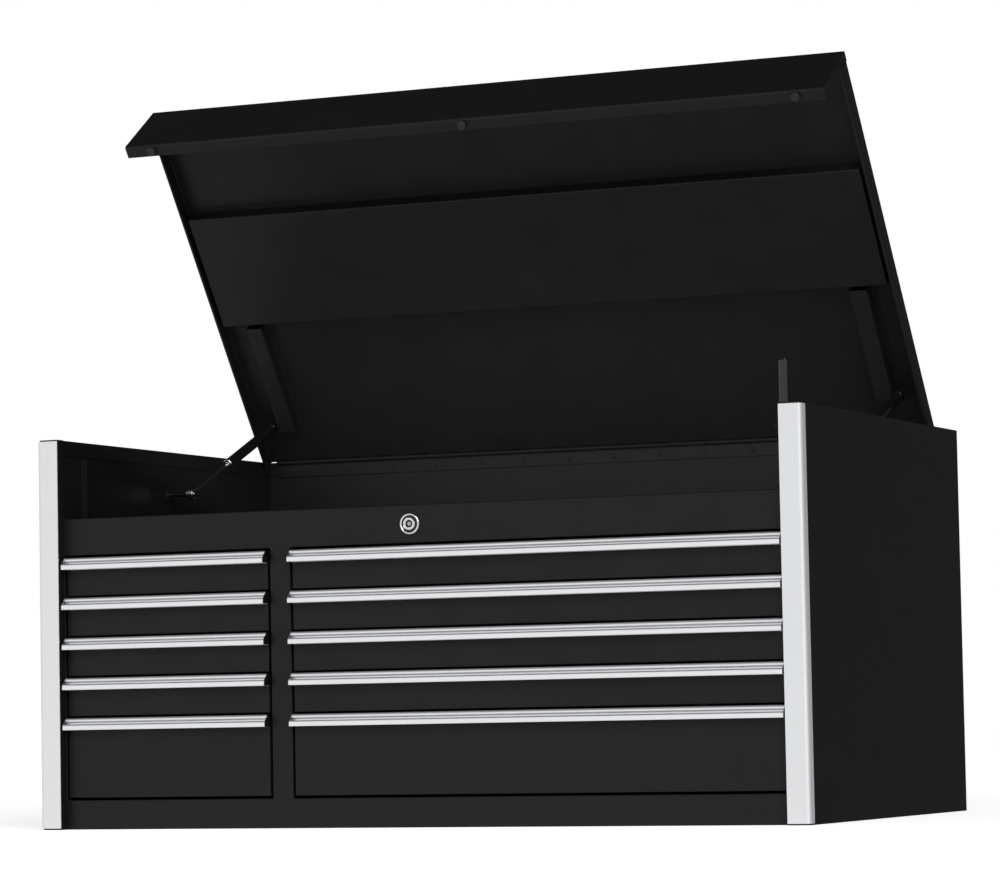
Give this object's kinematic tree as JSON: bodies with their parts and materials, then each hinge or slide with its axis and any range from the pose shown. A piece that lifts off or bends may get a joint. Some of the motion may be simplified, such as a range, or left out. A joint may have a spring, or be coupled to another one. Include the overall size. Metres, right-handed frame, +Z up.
{
  "type": "tool chest",
  "caption": "Black steel tool top chest with two banks of shallow drawers, full-width aluminium pulls, bright corner trims, a key lock and a strut-held lid over an open till.",
  "frame": {"origin": "middle of the base, on the surface that the chest stands on", "axes": "+X to the chest's right as one faces the drawers, +Y towards its back, +Z up"},
  "size_m": [1.041, 0.606, 0.956],
  "materials": {
    "black_powder_coat": "semi-gloss black powder coat on sheet steel",
    "satin_aluminium": "satin anodised extrusion, slightly polished",
    "plated_steel": "bright zinc plate",
    "black_hinge_paint": "black paint",
    "chrome_plate": "bright chrome",
    "black_strut_paint": "gloss black paint",
    "black_gloss_plastic": "gloss black moulded plastic",
    "black_rubber": "matt black rubber"
  },
  "bodies": {
    "root": {"left_side_panel": "black_powder_coat", "right_side_panel": "black_powder_coat", "inner_side_panels": "black_powder_coat", "back_panel": "black_powder_coat", "bottom_panel": "black_powder_coat", "front_frame": "black_powder_coat", "centre_partition": "black_powder_coat", "till_floor": "black_powder_coat", "left_corner_trim": "satin_aluminium", "right_corner_trim": "satin_aluminium", "till_corner_brackets": "black_powder_coat", "case_slide_rails": "plated_steel", "lock_housing": "chrome_plate", "hinge_chest_leaf": "black_hinge_paint", "hinge_pin": "plated_steel", "hinge_screws": "chrome_plate", "strut_chest_studs": "chrome_plate"},
    "lid": {"lid_shell": "black_powder_coat", "lid_stiffeners": "black_powder_coat", "lid_bumpers": "black_rubber", "hinge_lid_leaf": "black_hinge_paint", "strut_lid_studs": "chrome_plate"},
    "key_plug": {"lock_core": "chrome_plate", "lock_cam": "plated_steel"},
    "plunger": {"lock_plunger": "black_gloss_plastic"},
    "lock_bars": {"drawer_lock_bars": "plated_steel"},
    "left_rod": {"left_strut_rod": "chrome_plate"},
    "left_tube": {"left_strut_tube": "black_strut_paint"},
    "right_rod": {"right_strut_rod": "chrome_plate"},
    "right_tube": {"right_strut_tube": "black_strut_paint"},
    "left_drawer_1": {"left_drawer_1_box": "black_powder_coat", "left_drawer_1_pull": "satin_aluminium", "left_drawer_1_runners": "plated_steel"},
    "left_drawer_2": {"left_drawer_2_box": "black_powder_coat", "left_drawer_2_pull": "satin_aluminium", "left_drawer_2_runners": "plated_steel"},
    "left_drawer_3": {"left_drawer_3_box": "black_powder_coat", "left_drawer_3_pull": "satin_aluminium", "left_drawer_3_runners": "plated_steel"},
    "left_drawer_4": {"left_drawer_4_box": "black_powder_coat", "left_drawer_4_pull": "satin_aluminium", "left_drawer_4_runners": "plated_steel"},
    "left_drawer_5": {"left_drawer_5_box": "black_powder_coat", "left_drawer_5_pull": "satin_aluminium", "left_drawer_5_runners": "plated_steel"},
    "right_drawer_1": {"right_drawer_1_box": "black_powder_coat", "right_drawer_1_pull": "satin_aluminium", "right_drawer_1_runners": "plated_steel"},
    "right_drawer_2": {"right_drawer_2_box": "black_powder_coat", "right_drawer_2_pull": "satin_aluminium", "right_drawer_2_runners": "plated_steel"},
    "right_drawer_3": {"right_drawer_3_box": "black_powder_coat", "right_drawer_3_pull": "satin_aluminium", "right_drawer_3_runners": "plated_steel"},
    "right_drawer_4": {"right_drawer_4_box": "black_powder_coat", "right_drawer_4_pull": "satin_aluminium", "right_drawer_4_runners": "plated_steel"},
    "right_drawer_5": {"right_drawer_5_box": "black_powder_coat", "right_drawer_5_pull": "satin_aluminium", "right_drawer_5_runners": "plated_steel"}
  },
  "joints": [
    {"name": "lid_hinge", "type": "hinge", "parent": "root", "child": "lid", "pos_m": [0, 0.2915, 0.4975], "axis": [1, 0, 0], "range_deg": [0, 54.2]},
    {"name": "key_turn", "type": "hinge", "parent": "root", "child": "key_plug", "pos_m": [0, -0.286, 0.3731], "axis": [0, 1, 0], "range_deg": [0, 90]},
    {"name": "plunger_travel", "type": "slide", "parent": "root", "child": "plunger", "axis": [0, 0, -1], "range_m": [0, 0.0571]},
    {"name": "lock_bar_travel", "type": "slide", "parent": "root", "child": "lock_bars", "axis": [0, 0, -1], "range_m": [0, 0.0101]},
    {"name": "left_strut_pivot", "type": "hinge", "parent": "root", "child": "left_rod", "pos_m": [-0.461, -0.001, 0.4403], "axis": [1, 0, 0], "range_deg": [-12.5, 0]},
    {"name": "left_strut_stroke", "type": "slide", "parent": "left_rod", "child": "left_tube", "axis": [0, 0.9193, 0.3936], "range_m": [-0.035, 0]},
    {"name": "right_strut_pivot", "type": "hinge", "parent": "root", "child": "right_rod", "pos_m": [0.461, -0.001, 0.4403], "axis": [1, 0, 0], "range_deg": [-12.5, 0]},
    {"name": "right_strut_stroke", "type": "slide", "parent": "right_rod", "child": "right_tube", "axis": [0, 0.9193, 0.3936], "range_m": [-0.035, 0]},
    {"name": "left_drawer_1_slide", "type": "slide", "parent": "root", "child": "left_drawer_1", "axis": [0, -1, 0], "range_m": [0, 0.4]},
    {"name": "left_drawer_2_slide", "type": "slide", "parent": "root", "child": "left_drawer_2", "axis": [0, -1, 0], "range_m": [0, 0.4]},
    {"name": "left_drawer_3_slide", "type": "slide", "parent": "root", "child": "left_drawer_3", "axis": [0, -1, 0], "range_m": [0, 0.4]},
    {"name": "left_drawer_4_slide", "type": "slide", "parent": "root", "child": "left_drawer_4", "axis": [0, -1, 0], "range_m": [0, 0.4]},
    {"name": "left_drawer_5_slide", "type": "slide", "parent": "root", "child": "left_drawer_5", "axis": [0, -1, 0], "range_m": [0, 0.4]},
    {"name": "right_drawer_1_slide", "type": "slide", "parent": "root", "child": "right_drawer_1", "axis": [0, -1, 0], "range_m": [0, 0.4]},
    {"name": "right_drawer_2_slide", "type": "slide", "parent": "root", "child": "right_drawer_2", "axis": [0, -1, 0], "range_m": [0, 0.4]},
    {"name": "right_drawer_3_slide", "type": "slide", "parent": "root", "child": "right_drawer_3", "axis": [0, -1, 0], "range_m": [0, 0.4]},
    {"name": "right_drawer_4_slide", "type": "slide", "parent": "root", "child": "right_drawer_4", "axis": [0, -1, 0], "range_m": [0, 0.4]},
    {"name": "right_drawer_5_slide", "type": "slide", "parent": "root", "child": "right_drawer_5", "axis": [0, -1, 0], "range_m": [0, 0.4]}
  ],
  "couplings": [
    {"joint": "plunger_travel", "follows": "lid_hinge", "m_per_rad": 0.060256},
    {"joint": "lock_bar_travel", "follows": "lid_hinge", "m_per_rad": 0.010571},
    {"joint": "left_strut_pivot", "follows": "lid_hinge", "ratio": -0.22302},
    {"joint": "left_strut_stroke", "follows": "lid_hinge", "m_per_rad": -0.036245},
    {"joint": "right_strut_pivot", "follows": "lid_hinge", "ratio": -0.22302},
    {"joint": "right_strut_stroke", "follows": "lid_hinge", "m_per_rad": -0.036245}
  ]
}
